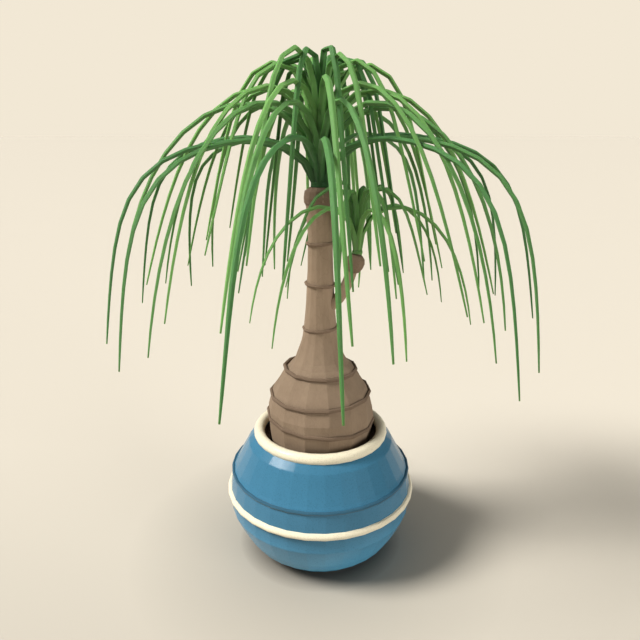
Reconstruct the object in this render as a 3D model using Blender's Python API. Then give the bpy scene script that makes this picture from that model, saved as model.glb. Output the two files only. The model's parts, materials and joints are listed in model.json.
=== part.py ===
"""Potted ponytail palm: a long-leaved house plant in a round-bellied glazed pot.

Metres, +Z up. The origin is the middle of the pot's flat foot, on the surface that the pot
stands on, and -Y is the front. The plant rests in its soil, and nothing in it moves.
"""
import math
import random
from dataclasses import dataclass

import bmesh
import bpy
from mathutils import Vector

# Clearance between two pieces that touch.
GAP = 0.0004

# Pot, turned in flat facets. A profile is a run of (radius, height) points.
POT_SIDES = 32
POT_TURN = math.radians(-86.96)
FOOT_RADIUS = 0.060
BELLY_RADIUS = 0.0964
BAND_HEIGHT = 0.070
BAND_TUBE = 0.0036
LINE_RADIUS = 0.0931
LINE_HEIGHT = 0.0930
LINE_TUBE = 0.0018
RIM_RADIUS = 0.0645
RIM_HEIGHT = 0.134
RIM_TUBE = 0.0056
POT_FLOOR = 0.0085
LOWER_WALL = ((0.0665, 0.0045), (0.0775, 0.0150), (0.0845, 0.0260), (0.0905, 0.0380), (0.0956, 0.0500))
UPPER_WALL = ((0.0897, 0.0980), (0.0759, 0.1240))
INNER_WALL = ((0.0610, 0.1275), (0.0715, 0.1180), (0.0835, 0.0980), (0.0895, 0.0820), (0.0903, 0.0600),
              (0.0893, 0.0500), (0.0845, 0.0390), (0.0785, 0.0275), (0.0715, 0.0180), (0.0620, 0.0100))

# Soil, up to just under the pot's mouth.
SOIL_HEIGHT = 0.1235
SOIL_LUMP = 0.0008
SOIL_ROWS = (0.985, 0.90, 0.80)
HOLLOW_TOP = 0.1400

# Trunk: the swollen base, the shaft and the cap that the main crown grows from.
TRUNK_SIDES = 14
TRUNK_TURN = math.radians(-80.6)
TRUNK_FOOT = 0.0865
TRUNK_TOP = 0.3850
BARK_UNEVENNESS = 0.012
TRUNK_OUTLINE = (
    (0.0180, 0.0875), (0.0330, 0.0930), (0.0440, 0.1030), (0.0500, 0.1160), (0.0530, 0.1300), (0.0545, 0.1445),
    (0.0549, 0.1530), (0.0543, 0.1620), (0.0523, 0.1710), (0.0500, 0.1790), (0.0468, 0.1850), (0.0429, 0.1915),
    (0.0390, 0.1980), (0.0345, 0.2050), (0.0295, 0.2095), (0.0256, 0.2150), (0.0229, 0.2215), (0.0206, 0.2285),
    (0.0182, 0.2360), (0.0166, 0.2460), (0.0150, 0.2610), (0.0139, 0.2750), (0.0134, 0.2900), (0.0126, 0.3060),
    (0.0121, 0.3220), (0.0119, 0.3400), (0.0129, 0.3510), (0.0137, 0.3620), (0.0138, 0.3685), (0.0149, 0.3705),
    (0.0155, 0.3755), (0.0143, 0.3815), (0.0095, TRUNK_TOP))


@dataclass(frozen=True)
class Scar:
    """A ring scar: its height and outer radius, half its height, and how far it leans up to one side."""

    height: float
    radius: float
    half_height: float
    lean: float
    lean_azimuth: float


RING_SCARS = (
    Scar(0.1505, 0.0568, 0.0022, 0.0045, math.pi),
    Scar(0.1775, 0.0530, 0.0022, 0.0006, 0.0),
    Scar(0.2038, 0.0383, 0.0022, 0.0012, math.pi),
    Scar(0.2471, 0.0182, 0.0016, 0.0008, 0.0),
    Scar(0.2918, 0.0158, 0.0016, 0.0010, math.pi),
    Scar(0.3326, 0.0143, 0.0016, 0.0006, 0.0))

# Side branch: (distance out from the trunk's axis, height, radius) along it, ending in a knob.
BRANCH_SIDES = 10
BRANCH_AZIMUTH = math.radians(-15.0)
BRANCH_LINE = (
    (0.0050, 0.2650, 0.0060), (0.0120, 0.2720, 0.0062), (0.0185, 0.2785, 0.0060), (0.0240, 0.2870, 0.0057),
    (0.0280, 0.2965, 0.0055), (0.0313, 0.3065, 0.0054), (0.0321, 0.3085, 0.0074), (0.0332, 0.3115, 0.0087),
    (0.0344, 0.3155, 0.0091), (0.0354, 0.3195, 0.0080), (0.0361, 0.3225, 0.0054))

# Leaves: long straps, thickest at the root, that rise, arch over and hang.
LEAF_STEPS = 60
LEAF_TAPER = 0.34
TAPER_POWER = 1.4
CROWN_FOOT = 0.0004
TURN_JITTER = 0.30
ANGLE_JITTER = 3.0
BEND_JITTER = 0.04
LENGTH_JITTER = 0.045
SWAY_JITTER = 5.0


@dataclass(frozen=True)
class Tier:
    """One ring of leaves round a growing point, with angles in degrees above the horizontal.

    A leaf leaves its root at `launch`, settles to `arch` over the share `arch_span` of its length, and
    falls to `droop` round the share `bend` of it, the more abruptly the larger `sharpness` is.
    """

    count: int
    seed: int
    root_radius: float
    root_height: float
    launch: float
    arch: float
    arch_span: float
    bend: float
    sharpness: float
    length: float
    droop: float


@dataclass(frozen=True)
class Crown:
    """A head of leaves: its foot's centre, its core's radius and height, and its leaves' section."""

    name: str
    centre: Vector
    core_radius: float
    core_height: float
    leaf_width: float
    leaf_thickness: float
    segments: int
    tiers: tuple


MAIN_CROWN = Crown(
    "crown_leaves", Vector((0.0, 0.0, TRUNK_TOP + CROWN_FOOT)), 0.0090, 0.0120, 0.0068, 0.0054, 15,
    (Tier(10, 7146, 0.0020, 0.0046, 88.0, 87.0, 1.0, 0.357, 11.5, 0.330, -79.0),
     Tier(10, 8303, 0.0030, 0.0040, 86.0, 85.0, 1.0, 0.380, 7.0, 0.310, -75.0),
     Tier(12, 5426, 0.0040, 0.0026, 88.0, 86.0, 1.0, 0.315, 3.2, 0.347, -75.0),
     Tier(12, 96, 0.0050, 0.0030, 86.0, 84.0, 1.0, 0.315, 2.0, 0.342, -83.0),
     Tier(13, 8962, 0.0058, 0.0034, 81.0, -20.0, 0.16, 0.560, 7.4, 0.342, -82.0)))

SIDE_CROWN = Crown(
    "side_leaves", Vector((0.0364 * math.cos(BRANCH_AZIMUTH), 0.0364 * math.sin(BRANCH_AZIMUTH), 0.3242)),
    0.0050, 0.0060, 0.0054, 0.0043, 12,
    (Tier(7, 10778, 0.0015, 0.0026, 86.0, 84.0, 1.0, 0.390, 6.0, 0.180, -76.0),
     Tier(7, 219, 0.0022, 0.0020, 82.0, 80.0, 1.0, 0.330, 2.2, 0.205, -82.0)))


def clear_scene():
    """Remove every object of the scene that the script starts in."""
    for thing in list(bpy.data.objects):
        bpy.data.objects.remove(thing, do_unlink=True)


def make_material(name, colour, roughness, coat=0.0):
    """A Principled material of one colour."""
    material = bpy.data.materials.new(name)
    material.use_nodes = True
    shader = material.node_tree.nodes["Principled BSDF"]
    shader.inputs["Base Color"].default_value = (*colour, 1.0)
    shader.inputs["Roughness"].default_value = roughness
    shader.inputs["Metallic"].default_value = 0.0
    shader.inputs["Coat Weight"].default_value = coat
    return material


def make_object(name, mesh_data, material=None):
    """Turn a finished bmesh into a named object in the scene, its faces pointing out."""
    bmesh.ops.recalc_face_normals(mesh_data, faces=mesh_data.faces)
    mesh = bpy.data.meshes.new(name)
    mesh_data.to_mesh(mesh)
    mesh_data.free()
    if material is not None:
        mesh.materials.append(material)
    thing = bpy.data.objects.new(name, mesh)
    bpy.context.scene.collection.objects.link(thing)
    return thing


def skin(rings, first=None, last=None):
    """Join rings of points into a closed tube, ending in a point where one is given, or else in a flat face."""
    shape = bmesh.new()
    rows = [[shape.verts.new(point) for point in ring] for ring in rings]
    count = len(rows[0])
    for low, high in zip(rows, rows[1:]):
        for i in range(count):
            j = (i + 1) % count
            shape.faces.new((low[i], low[j], high[j], high[i]))
    for row, tip in ((rows[0], first), (rows[-1], last)):
        if tip is None:
            shape.faces.new(row)
            continue
        apex = shape.verts.new(tip)
        for i in range(count):
            shape.faces.new((row[i], row[(i + 1) % count], apex))
    return shape


def level_ring(radius, height, sides, turn):
    """The points of a flat ring round the Z axis."""
    angles = [turn + 2.0 * math.pi * i / sides for i in range(sides)]
    return [Vector((radius * math.cos(a), radius * math.sin(a), height)) for a in angles]


def arc(radius, height, tube, start, end, steps):
    """Profile points on a round moulding, from one angle to another in degrees, 0 pointing outwards."""
    angles = [math.radians(start + (end - start) * i / steps) for i in range(steps + 1)]
    return [(radius + tube * math.cos(a), height + tube * math.sin(a)) for a in angles]


def make_pot(material):
    """The hollow pot: flat foot, belly with its raised band and line, and the rolled rim."""
    profile = [(FOOT_RADIUS, 0.0), *LOWER_WALL]
    profile += arc(BELLY_RADIUS, BAND_HEIGHT, BAND_TUBE, -82.0, 82.0, 6)
    profile += arc(LINE_RADIUS, LINE_HEIGHT, LINE_TUBE, -55.0, 90.0, 4)
    profile += UPPER_WALL
    profile += arc(RIM_RADIUS, RIM_HEIGHT, RIM_TUBE, -36.0, 180.0, 8)
    profile += INNER_WALL
    rings = [level_ring(radius, height, POT_SIDES, POT_TURN) for radius, height in profile]
    return make_object("pot", skin(rings, Vector((0, 0, 0)), Vector((0, 0, POT_FLOOR))), material)


def radius_at(profile, height):
    """The radius of a profile that only rises, or only falls, at a height."""
    for (r0, z0), (r1, z1) in zip(profile, profile[1:]):
        if min(z0, z1) <= height <= max(z0, z1):
            return r0 + (r1 - r0) * (height - z0) / (z1 - z0)
    raise ValueError(f"the profile does not reach the height {height}")


def trunk_rows():
    """The trunk's rows from the soil up, as (radius, height, lean, lean azimuth), with the ring scars in."""
    rows = [(radius, height, 0.0, 0.0) for radius, height in TRUNK_OUTLINE]
    for scar in RING_SCARS:
        reach = scar.half_height + scar.lean
        rows = [row for row in rows if abs(row[1] - scar.height) > reach]
        for share, proud in ((-1.0, 0.0), (-0.45, 1.0), (0.35, 1.0), (1.0, 0.0)):
            height = scar.height + share * scar.half_height
            base = radius_at(TRUNK_OUTLINE, height)
            rows.append((base + proud * (scar.radius - base), height, scar.lean, scar.lean_azimuth))
    return sorted(rows, key=lambda row: row[1])


def trunk_rings(rows, grow=0.0):
    """Rings of points on the bark, each point a little in or out, or all moved out and down by `grow`."""
    rng = random.Random(7)
    rings = []
    for radius, height, lean, azimuth in rows:
        ring = []
        for point in level_ring(radius, height, TRUNK_SIDES, TRUNK_TURN):
            angle = math.atan2(point.y, point.x)
            reach = radius * (1.0 + rng.uniform(-BARK_UNEVENNESS, BARK_UNEVENNESS)) + grow
            rise = lean * math.cos(angle - azimuth) - grow
            ring.append(Vector((reach * math.cos(angle), reach * math.sin(angle), height + rise)))
        rings.append(ring)
    return rings


def make_branch():
    """The side branch with the knob at its end, sunk into the trunk at its root."""
    outward = Vector((math.cos(BRANCH_AZIMUTH), math.sin(BRANCH_AZIMUTH), 0.0))
    across = outward.cross(Vector((0, 0, 1)))
    centres = [outward * out + Vector((0, 0, height)) for out, height, _ in BRANCH_LINE]
    rings = []
    for i, centre in enumerate(centres):
        along = (centres[min(i + 1, len(centres) - 1)] - centres[max(i - 1, 0)]).normalized()
        normal = across.cross(along)
        radius = BRANCH_LINE[i][2]
        angles = [2.0 * math.pi * k / BRANCH_SIDES for k in range(BRANCH_SIDES)]
        rings.append([centre + radius * (across * math.cos(a) + normal * math.sin(a)) for a in angles])
    return make_object("branch", skin(rings))


def apply_boolean(thing, operation, solver, other=None, collection=None):
    """Apply a Boolean to an object with another object, or with all those of a collection, and remove them."""
    cut = thing.modifiers.new("cut", "BOOLEAN")
    cut.operation = operation
    cut.solver = solver
    if collection is None:
        cut.object = other
    else:
        cut.operand_type = "COLLECTION"
        cut.collection = collection
    graph = bpy.context.evaluated_depsgraph_get()
    result = bpy.data.meshes.new_from_object(thing.evaluated_get(graph))
    thing.modifiers.remove(cut)
    thing.data = result
    for used in [other] if collection is None else list(collection.objects):
        bpy.data.objects.remove(used, do_unlink=True)


def make_trunk(material):
    """Swollen base, shaft, ring scars, cap and side branch, grown as one piece."""
    shape = skin(trunk_rings(trunk_rows()), Vector((0, 0, TRUNK_FOOT)), Vector((0, 0, TRUNK_TOP)))
    trunk = make_object("trunk", shape, material)
    apply_boolean(trunk, "UNION", "EXACT", other=make_branch())
    return trunk


def make_soil(material):
    """Soil that fills the pot, uneven on top, with the hollow that the swollen base stands in."""
    rng = random.Random(3)
    foot = POT_FLOOR + GAP
    rings = [level_ring(radius - GAP, max(height, foot), POT_SIDES, POT_TURN)
             for radius, height in reversed(INNER_WALL) if height < SOIL_HEIGHT]
    for share in SOIL_ROWS:
        radius = (radius_at(INNER_WALL, SOIL_HEIGHT) - GAP) * share
        ring = level_ring(radius, SOIL_HEIGHT, POT_SIDES, POT_TURN)
        rings.append([point + Vector((0, 0, rng.uniform(-SOIL_LUMP, SOIL_LUMP))) for point in ring])
    soil = make_object("soil", skin(rings, Vector((0, 0, foot)), Vector((0, 0, SOIL_HEIGHT))), material)
    hollow_rings = trunk_rings([row for row in trunk_rows() if row[1] < HOLLOW_TOP], GAP)
    hollow = make_object("hollow", skin(hollow_rings, Vector((0, 0, TRUNK_FOOT - GAP))))
    apply_boolean(soil, "DIFFERENCE", "EXACT", other=hollow)
    return soil


def leaf_line(crown, tier, azimuth, launch, bend, length, sway):
    """Points along a leaf's middle, with the azimuth at each, from its root to its tip."""
    radius = tier.root_radius
    height = crown.centre.z + tier.root_height
    full = 1.0 + bend ** tier.sharpness
    step = length / LEAF_STEPS
    line = []
    for k in range(LEAF_STEPS + 1):
        turn = azimuth + sway * (k / LEAF_STEPS) ** 2
        line.append((crown.centre.x + radius * math.cos(turn), crown.centre.y + radius * math.sin(turn), height,
                     turn))
        share = (k + 0.5) / LEAF_STEPS
        fall = full * share ** tier.sharpness / (share ** tier.sharpness + bend ** tier.sharpness)
        rise = (launch - tier.arch) * math.exp(-share / tier.arch_span)
        slope = math.radians(tier.arch + rise - (tier.arch - tier.droop) * fall)
        radius += step * math.cos(slope)
        height += step * math.sin(slope)
    return line


def tier_lines(crown, tier):
    """The middle lines of a tier's leaves, spaced round the crown with a small seeded unevenness."""
    rng = random.Random(tier.seed)
    phase = rng.random()
    lines = []
    for i in range(tier.count):
        azimuth = 2.0 * math.pi * (i + phase + rng.uniform(-TURN_JITTER, TURN_JITTER)) / tier.count
        launch = tier.launch + rng.uniform(-ANGLE_JITTER, ANGLE_JITTER)
        bend = tier.bend * (1.0 + rng.uniform(-BEND_JITTER, BEND_JITTER))
        length = tier.length * (1.0 + rng.uniform(-LENGTH_JITTER, LENGTH_JITTER))
        sway = math.radians(rng.uniform(-SWAY_JITTER, SWAY_JITTER))
        lines.append(leaf_line(crown, tier, azimuth, launch, bend, length, sway))
    return lines


def leaf_shape(crown, line):
    """A leaf's closed skin: a folded four-edged strap that narrows to a blunt tip."""
    stride = LEAF_STEPS // crown.segments
    stations = line[::stride]
    rings = []
    for i, (x, y, z, turn) in enumerate(stations):
        before = Vector(stations[max(i - 1, 0)][:3])
        after = Vector(stations[min(i + 1, len(stations) - 1)][:3])
        across = Vector((-math.sin(turn), math.cos(turn), 0.0))
        face = across.cross((after - before).normalized())
        scale = 1.0 - (1.0 - LEAF_TAPER) * (i / (len(stations) - 1)) ** TAPER_POWER
        wide = across * crown.leaf_width * scale / 2.0
        thick = face * crown.leaf_thickness * scale / 2.0
        middle = Vector((x, y, z))
        rings.append([middle + wide, middle + thick, middle - wide, middle - thick])
    return skin(rings)


def make_crown(crown, material):
    """A head of leaves fused at their roots to a small core that sits on the bark."""
    core_rings = [level_ring(crown.core_radius * share, crown.centre.z + crown.core_height * rise, 12, 0.0)
                  for share, rise in ((1.0, 0.0), (1.0, 0.35), (0.6, 0.85))]
    crown_axis = Vector((crown.centre.x, crown.centre.y, 0.0))
    core_rings = [[point + crown_axis for point in ring] for ring in core_rings]
    head = make_object(crown.name, skin(core_rings), material)
    leaves = bpy.data.collections.new(crown.name + "_leaves")
    for tier in crown.tiers:
        for line in tier_lines(crown, tier):
            leaf = make_object("leaf", leaf_shape(crown, line))
            bpy.context.scene.collection.objects.unlink(leaf)
            leaves.objects.link(leaf)
    bpy.context.scene.collection.children.link(leaves)
    apply_boolean(head, "UNION", "MANIFOLD", collection=leaves)
    bpy.data.collections.remove(leaves)
    return head


def main():
    """Model the pot, its soil and the plant."""
    clear_scene()
    make_pot(make_material("blue_glaze", (0.067, 0.205, 0.319), 0.25, 0.5))
    make_soil(make_material("soil", (0.030, 0.018, 0.012), 0.95))
    make_trunk(make_material("bark", (0.290, 0.205, 0.145), 0.85))
    leaf_green = make_material("leaf", (0.075, 0.265, 0.060), 0.55)
    make_crown(MAIN_CROWN, leaf_green)
    make_crown(SIDE_CROWN, leaf_green)


if __name__ == "__main__":
    main()
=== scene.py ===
"""Looks of the potted ponytail palm: glazed pot, potting soil, ringed bark and strap leaves.

Metres, +Z up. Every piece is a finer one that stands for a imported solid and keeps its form.
"""
import json
import logging
import math
import random
from dataclasses import dataclass, field
from enum import Enum
from typing import Sequence

import bmesh
import bpy
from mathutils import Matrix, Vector, noise

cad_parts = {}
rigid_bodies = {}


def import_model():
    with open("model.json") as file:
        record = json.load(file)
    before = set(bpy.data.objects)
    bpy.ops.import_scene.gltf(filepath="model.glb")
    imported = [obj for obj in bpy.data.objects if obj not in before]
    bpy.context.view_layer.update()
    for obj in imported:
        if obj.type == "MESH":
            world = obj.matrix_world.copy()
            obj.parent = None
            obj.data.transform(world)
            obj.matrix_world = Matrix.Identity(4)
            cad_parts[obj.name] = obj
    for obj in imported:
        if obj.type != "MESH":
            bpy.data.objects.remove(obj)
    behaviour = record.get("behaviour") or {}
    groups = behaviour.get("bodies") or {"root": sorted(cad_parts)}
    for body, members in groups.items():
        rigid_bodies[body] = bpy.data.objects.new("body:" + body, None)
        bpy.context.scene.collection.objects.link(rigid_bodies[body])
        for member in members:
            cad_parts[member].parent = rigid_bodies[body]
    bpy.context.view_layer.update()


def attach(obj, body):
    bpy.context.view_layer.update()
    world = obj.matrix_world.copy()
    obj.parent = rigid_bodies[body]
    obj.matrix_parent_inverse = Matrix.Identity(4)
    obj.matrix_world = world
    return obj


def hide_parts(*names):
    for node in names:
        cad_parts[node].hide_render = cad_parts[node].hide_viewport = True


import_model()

BODY = "root"
# The clearance between two pieces that touch.
GAP = 0.0004
# The leaves' map, across and along the blade, and their attributes.
UV_NAME = "blade"
TONE = "tone"
ALONG = "along"
EVEN = (1.0, 1.0, 1.0)

Colour = tuple[float, float, float]
Stretch = tuple[float, float, float]
Profile = Sequence[tuple[float, float]]
Ring = list[Vector]
Line = Sequence[tuple[Vector, float]]
Socket = bpy.types.NodeSocket

log = logging.getLogger("palm")


class Slot(Enum):
    """The record's material slots."""

    BLUE = "blue_glaze"
    CREAM = "cream_glaze"
    DARK = "dark_glaze"
    SOIL = "soil"
    BARK = "bark"
    SCAR = "scar_bark"
    LEAF = "leaf"


# ---------------------------------------------------------------- bench


def deselect() -> None:
    """Leave edit mode and deselect every object."""
    if bpy.context.object is not None and bpy.context.object.mode != "OBJECT":
        bpy.ops.object.mode_set(mode="OBJECT")
    for thing in bpy.context.view_layer.objects:
        thing.select_set(False)


def pick(thing: bpy.types.Object) -> None:
    """Make one object the only selected and active one.

    Args:
        thing: The object to work on.
    """
    deselect()
    thing.select_set(True)
    bpy.context.view_layer.objects.active = thing


def settle(thing: bpy.types.Object) -> None:
    """Put an object's place, turn and scale into its mesh.

    Args:
        thing: The object to settle at the origin.
    """
    pick(thing)
    bpy.ops.object.transform_apply(location=True, rotation=True, scale=True)


def apply_modifiers(thing: bpy.types.Object) -> None:
    """Apply an object's modifiers from the first to the last.

    Args:
        thing: The object whose modifiers are applied.
    """
    pick(thing)
    for modifier in list(thing.modifiers):
        bpy.ops.object.modifier_apply(modifier=modifier.name)


def face_out(thing: bpy.types.Object) -> None:
    """Turn all of an object's faces outwards.

    Args:
        thing: The closed mesh object to turn.
    """
    pick(thing)
    bpy.ops.object.mode_set(mode="EDIT")
    bpy.ops.mesh.select_all(action="SELECT")
    bpy.ops.mesh.normals_make_consistent(inside=False)
    bpy.ops.object.mode_set(mode="OBJECT")


def smooth(thing: bpy.types.Object, angle: float) -> None:
    """Shade an object smoothly where its faces meet at less than an angle, and leave its other edges sharp.

    Args:
        thing: The object to shade.
        angle: The angle in degrees.
    """
    pick(thing)
    bpy.ops.object.shade_smooth_by_angle(angle=math.radians(angle))


def join(name: str, things: Sequence[bpy.types.Object]) -> bpy.types.Object:
    """Join objects into one.

    Args:
        name: The name of the joined object.
        things: The objects, which all have the same materials.

    Returns:
        The joined object.
    """
    pick(things[0])
    for thing in things:
        thing.select_set(True)
    bpy.ops.object.join()
    things[0].name = name
    things[0].data.name = name
    return things[0]


def mount(piece: bpy.types.Object, slot: Slot, material: bpy.types.Material, *nodes: str) -> None:
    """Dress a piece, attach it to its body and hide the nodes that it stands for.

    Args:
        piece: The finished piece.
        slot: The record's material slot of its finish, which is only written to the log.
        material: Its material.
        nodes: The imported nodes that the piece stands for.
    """
    piece.data.materials.clear()
    piece.data.materials.append(material)
    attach(piece, BODY)
    if nodes:
        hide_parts(*nodes)
    log.info("%s: %d faces, slot %s", piece.name, len(piece.data.polygons), slot.value)


@dataclass
class Tube:
    """A straight tube with closed ends, modelled once, whose rings are then set in place one by one.

    Args:
        sides: Points round each ring.
        rows: Rings along the tube, both ends included.
    """

    sides: int
    rows: int
    mesh: bpy.types.Mesh = field(init=False)
    places: list[tuple[int, int]] = field(init=False)

    def __post_init__(self) -> None:
        """Model the straight tube: a cylinder whose upright edges are cut into rows."""
        deselect()
        bpy.ops.mesh.primitive_cylinder_add(vertices=self.sides, radius=1.0, depth=1.0,
                                            end_fill_type="TRIFAN")
        thing = bpy.context.object
        if self.rows > 2:
            bpy.ops.object.mode_set(mode="EDIT")
            bpy.ops.mesh.select_mode(type="EDGE")
            bpy.ops.mesh.select_all(action="DESELECT")
            shape = bmesh.from_edit_mesh(thing.data)
            for edge in shape.edges:
                low, high = edge.verts
                edge.select_set(abs(low.co.z - high.co.z) > 0.5)
            bmesh.update_edit_mesh(thing.data)
            bpy.ops.mesh.subdivide(number_cuts=self.rows - 2)
            bpy.ops.object.mode_set(mode="OBJECT")
        self.mesh = thing.data
        self.places = [self._place(vertex.co) for vertex in self.mesh.vertices]
        bpy.data.objects.remove(thing)

    def _place(self, point: Vector) -> tuple[int, int]:
        """Find the row and side of a point of the straight tube.

        Args:
            point: The point.

        Returns:
            Its row, and its side, which is -1 in the middle of an end.
        """
        row = round((point.z + 0.5) * (self.rows - 1))
        if math.hypot(point.x, point.y) < 0.5:
            return row, -1
        return row, round(math.atan2(point.y, point.x) / (2.0 * math.pi) * self.sides) % self.sides

    def copy(self, name: str, rings: Sequence[Ring], first: Vector | None = None,
             last: Vector | None = None) -> bpy.types.Object:
        """Copy the tube with its points set along a run of rings.

        Args:
            name: The name of the new object.
            rings: One ring of points for each row.
            first: The middle of the first end, or None for the middle of the first ring.
            last: The middle of the last end, or None for the middle of the last ring.

        Returns:
            The new object, at the origin, with its own mesh.
        """
        mesh = self.mesh.copy()
        mesh.name = name
        ends = {0: first or centre_of(rings[0]), self.rows - 1: last or centre_of(rings[-1])}
        for vertex, (row, side) in zip(mesh.vertices, self.places):
            vertex.co = ends[row] if side < 0 else rings[row][side]
        thing = bpy.data.objects.new(name, mesh)
        bpy.context.scene.collection.objects.link(thing)
        return thing


def skin(name: str, rings: Sequence[Ring], first: Vector | None = None,
         last: Vector | None = None) -> bpy.types.Object:
    """Model a closed skin over a run of rings.

    Args:
        name: The name of the new object.
        rings: The rings, all with as many points.
        first: The middle of the first end, or None for the middle of the first ring.
        last: The middle of the last end, or None for the middle of the last ring.

    Returns:
        The new object, at the origin.
    """
    return Tube(len(rings[0]), len(rings)).copy(name, rings, first, last)


def centre_of(ring: Ring) -> Vector:
    """The middle of a ring of points."""
    return sum(ring, Vector()) / len(ring)


def level_ring(radius: float, height: float, sides: int, turn: float) -> Ring:
    """The points of a flat ring round the Z axis.

    Args:
        radius: The ring's radius.
        height: Its height.
        sides: How many points it has.
        turn: The angle of its first point.

    Returns:
        The points, in order.
    """
    angles = [turn + 2.0 * math.pi * i / sides for i in range(sides)]
    return [Vector((radius * math.cos(a), radius * math.sin(a), height)) for a in angles]


def radius_at(profile: Profile, height: float) -> float:
    """The radius of a profile that only rises, or only falls, at a height.

    Args:
        profile: The (radius, height) points.
        height: The height to read at.

    Returns:
        The radius there.
    """
    for (r0, z0), (r1, z1) in zip(profile, profile[1:]):
        if min(z0, z1) <= height <= max(z0, z1):
            return r0 + (r1 - r0) * (height - z0) / (z1 - z0)
    raise ValueError(f"the profile does not reach the height {height}")


def refine(rings: Sequence[Ring], around: int, step: float) -> list[Ring]:
    """Split flat-sided rings into finer ones that lie on the same flat faces.

    Args:
        rings: The coarse rings.
        around: Parts that each side is split into.
        step: The most that two rows may be apart.

    Returns:
        The finer rings.
    """
    def split(ring: Ring) -> Ring:
        """One ring with each side split."""
        count = len(ring)
        return [ring[i].lerp(ring[(i + 1) % count], k / around) for i in range(count) for k in range(around)]

    fine = [split(ring) for ring in rings]
    rows = [fine[0]]
    for low, high in zip(fine, fine[1:]):
        span = max((b - a).length for a, b in zip(low, high))
        cuts = max(1, math.ceil(span / step))
        for k in range(1, cuts + 1):
            rows.append([a.lerp(b, k / cuts) for a, b in zip(low, high)])
    return rows


# ---------------------------------------------------------------- finishes


class Nodes:
    """A short hand for wiring one node tree."""

    def __init__(self, tree: bpy.types.NodeTree) -> None:
        """Keep the tree that is wired.

        Args:
            tree: A material's, group's or world's node tree.
        """
        self.tree = tree

    def add(self, kind: str, **inputs: object) -> bpy.types.Node:
        """Add a node and set or link its inputs.

        Args:
            kind: The node's type, without the leading ShaderNode.
            inputs: Values or sockets by input name, with underscores for spaces; a name that starts with
                `set_` sets the node's own property instead.

        Returns:
            The new node.
        """
        node = self.tree.nodes.new("ShaderNode" + kind)
        for name, value in inputs.items():
            if name.startswith("set_"):
                setattr(node, name[4:], value)
        for name, value in inputs.items():
            if name.startswith("set_"):
                continue
            socket = self.find(node, name)
            if isinstance(value, Socket):
                self.tree.links.new(value, socket)
            else:
                socket.default_value = value
        return node

    @staticmethod
    def find(node: bpy.types.Node, name: str) -> Socket:
        """Find an input of a node.

        Args:
            node: The node.
            name: The input's name, with underscores for spaces, or `in` and its number.

        Returns:
            The input's socket, the one in use where several have this name.
        """
        if name.startswith("in") and name[2:].isdigit():
            return node.inputs[int(name[2:])]
        label = name.replace("_", " ")
        usable = [socket for socket in node.inputs if socket.name == label and socket.enabled]
        return usable[0] if usable else node.inputs[label]

    def mix(self, factor: object, first: object, second: object, blend: str = "MIX") -> Socket:
        """Mix two colours.

        Args:
            factor: The share of the second, as a value or a socket.
            first: The first colour, or its socket.
            second: The second colour, or its socket.
            blend: How they are mixed.

        Returns:
            The mixed colour's socket.
        """
        node = self.tree.nodes.new("ShaderNodeMix")
        node.data_type = "RGBA"
        node.blend_type = blend
        for index, value in ((0, factor), (6, first), (7, second)):
            if isinstance(value, Socket):
                self.tree.links.new(value, node.inputs[index])
            elif index == 0:
                node.inputs[index].default_value = value
            else:
                node.inputs[index].default_value = (*value, 1.0)
        return node.outputs[2]

    def ramp(self, source: Socket, low: float, high: float, start: float = 0.0, end: float = 1.0) -> Socket:
        """Map a value from one range to another, held at the ends.

        Args:
            source: The value's socket.
            low: Where the first end of the range is.
            high: Where its other end is.
            start: What the first end becomes.
            end: What the other end becomes.

        Returns:
            The mapped value's socket.
        """
        node = self.add("MapRange", Value=source, From_Min=low, From_Max=high, To_Min=start, To_Max=end)
        return node.outputs["Result"]

    def math(self, operation: str, first: object, second: object = 0.0) -> Socket:
        """One sum, product or other operation on values."""
        return self.add("Math", set_operation=operation, in0=first, in1=second).outputs[0]

    def dim(self, colour: object, factor: Socket) -> Socket:
        """A colour made darker or lighter by a value's socket."""
        grey = self.add("CombineColor", Red=factor, Green=factor, Blue=factor).outputs[0]
        return self.mix(1.0, colour, grey, "MULTIPLY")

    def place(self) -> Socket:
        """The piece's own coordinates."""
        return self.add("TexCoord").outputs["Object"]

    def axis(self, place: Socket, letter: str) -> Socket:
        """One of the coordinates of a place."""
        return self.add("SeparateXYZ", Vector=place).outputs[letter]

    def stretched(self, place: Socket, stretch: object) -> Socket:
        """A place with each of its coordinates scaled."""
        return self.add("VectorMath", set_operation="MULTIPLY", in0=place, in1=stretch).outputs[0]


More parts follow.
